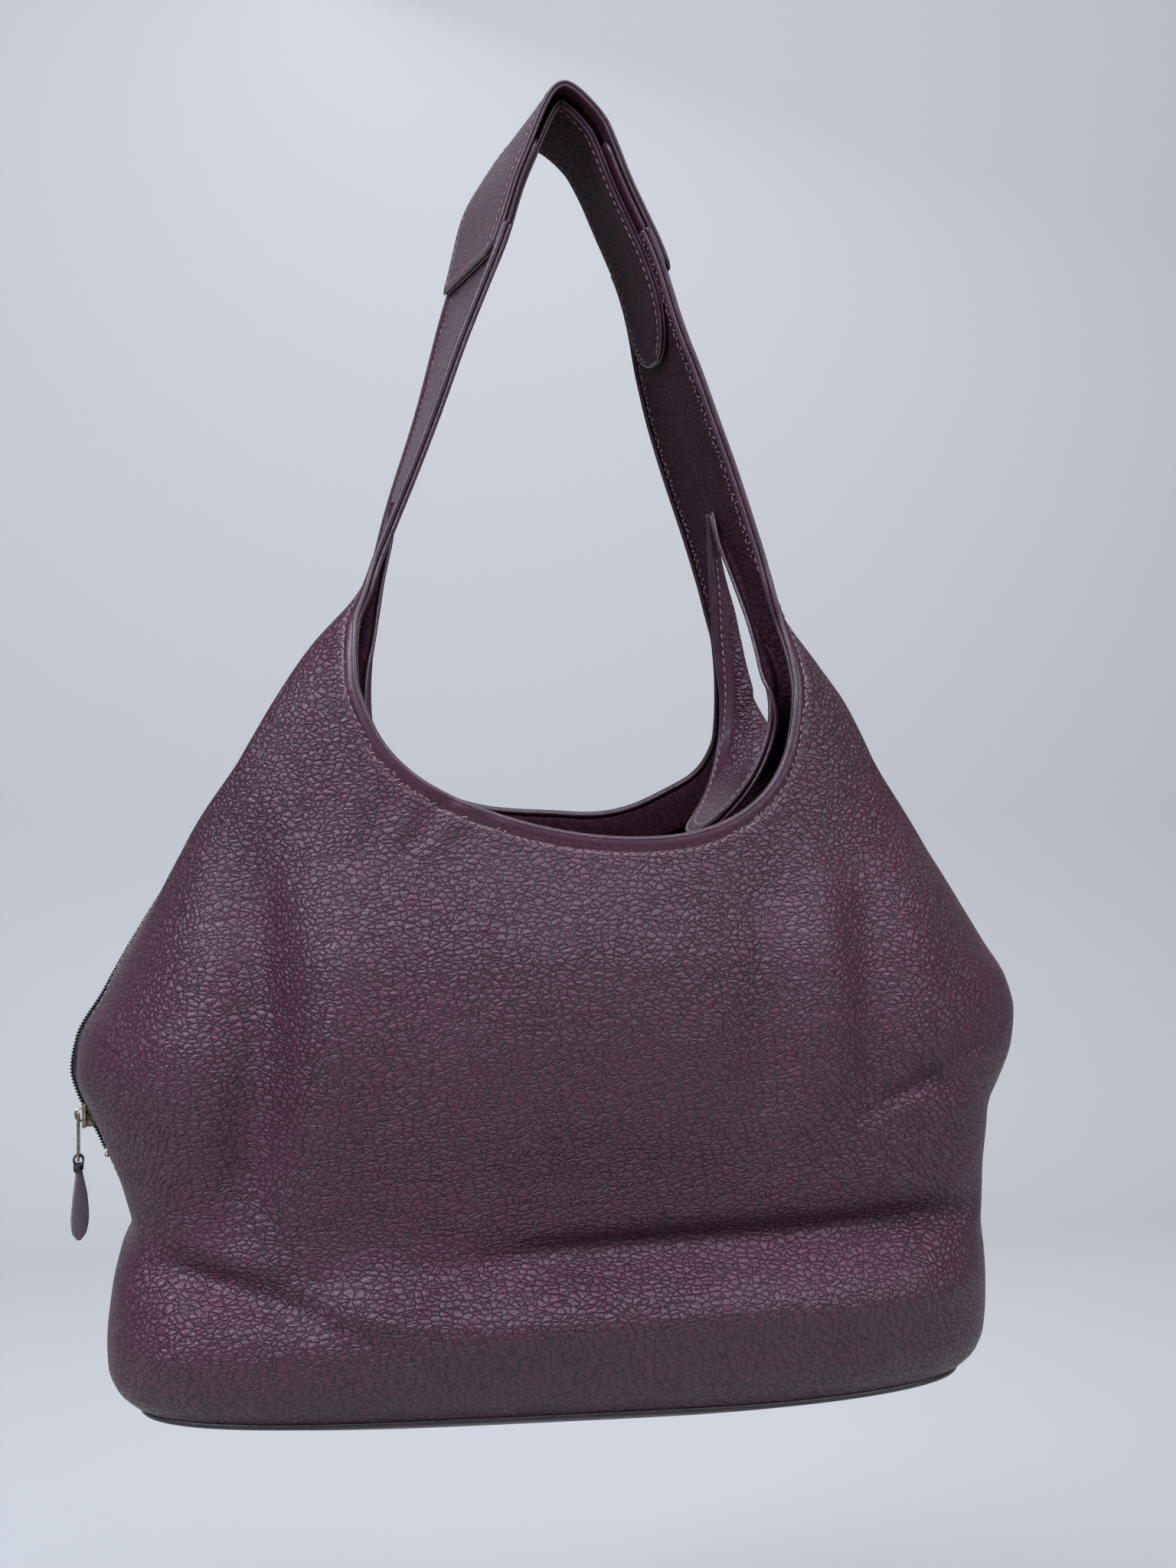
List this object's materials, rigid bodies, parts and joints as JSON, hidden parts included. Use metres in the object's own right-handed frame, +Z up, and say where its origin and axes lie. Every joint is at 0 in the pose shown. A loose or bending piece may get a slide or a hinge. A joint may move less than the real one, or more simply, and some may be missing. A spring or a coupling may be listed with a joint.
{
  "type": "hobo bag",
  "caption": "Slouchy pebbled leather hobo bag with a wide shoulder strap, deep necklines, side armholes and a side zip with a leather leaf pull.",
  "frame": {"origin": "where a hook bears on the underside of the strap's crest", "axes": "+X to the bag's right side as seen from the front, +Y to the back, +Z up"},
  "size_m": [0.4347, 0.1724, 0.6043],
  "materials": {
    "burgundy_leather": "pebble-grained, half matt",
    "turned_edge": "turned and stitched leather edge",
    "dark_lining": "dark facing leather, matt",
    "edge_paint": "dark painted leather edge",
    "base_board": "stiff fibre board",
    "zip_tape": "woven tape",
    "zip_teeth": "moulded coil",
    "aged_brass": "dark aged brass",
    "suede_side": "flesh side of leather"
  },
  "bodies": {
    "strap": {"front_left_arm": "burgundy_leather", "back_left_arm": "burgundy_leather", "front_right_arm": "burgundy_leather", "back_right_arm": "burgundy_leather", "left_arm_band": "burgundy_leather", "right_arm_band": "burgundy_leather", "strap_outer_band": "burgundy_leather", "strap_outer_lining": "dark_lining", "strap_inner_band": "dark_lining", "strap_inner_lining": "burgundy_leather"},
    "bag": {"front_panel": "burgundy_leather", "back_panel": "burgundy_leather", "bottom_panel": "burgundy_leather", "bottom_board": "base_board", "base_seam_strip": "edge_paint", "right_side_seam": "dark_lining", "front_neck_edge": "turned_edge", "back_neck_edge": "turned_edge", "front_neck_facing": "dark_lining", "back_neck_facing": "dark_lining", "left_side_flap": "burgundy_leather", "right_side_flap": "burgundy_leather", "left_flap_edge": "turned_edge", "right_flap_edge": "turned_edge", "zip_tape_front": "zip_tape", "zip_tape_back": "zip_tape", "zip_teeth_front": "zip_teeth", "zip_teeth_back": "zip_teeth", "zip_top_stop": "aged_brass", "zip_bottom_stop": "aged_brass"},
    "zip_slider": {"zip_slider": "aged_brass"},
    "zip_puller": {"zip_puller": "aged_brass"},
    "pull_leaf": {"zip_pull_knot": "edge_paint", "zip_pull_leaf": "suede_side"}
  },
  "joints": [
    {"name": "strap_swing", "type": "hinge", "parent": "strap", "child": "bag", "pos_m": [0, 0, -0.2107], "axis": [1, 0, 0], "range_deg": [-40, 40], "deforming": ["front_left_arm", "back_left_arm", "front_right_arm", "back_right_arm"]},
    {"name": "zip_slide", "type": "slide", "parent": "bag", "child": "zip_slider", "axis": [0, 0, 1], "range_m": [0, 0.05]},
    {"name": "puller_swing", "type": "hinge", "parent": "zip_slider", "child": "zip_puller", "pos_m": [-0.2184, 0, -0.4587], "axis": [0, 1, 0], "range_deg": [-2, 150]},
    {"name": "pull_leaf_swing", "type": "hinge", "parent": "zip_puller", "child": "pull_leaf", "pos_m": [-0.2184, 0, -0.4777], "axis": [1, 0, 0], "range_deg": [-50, 50]}
  ]
}
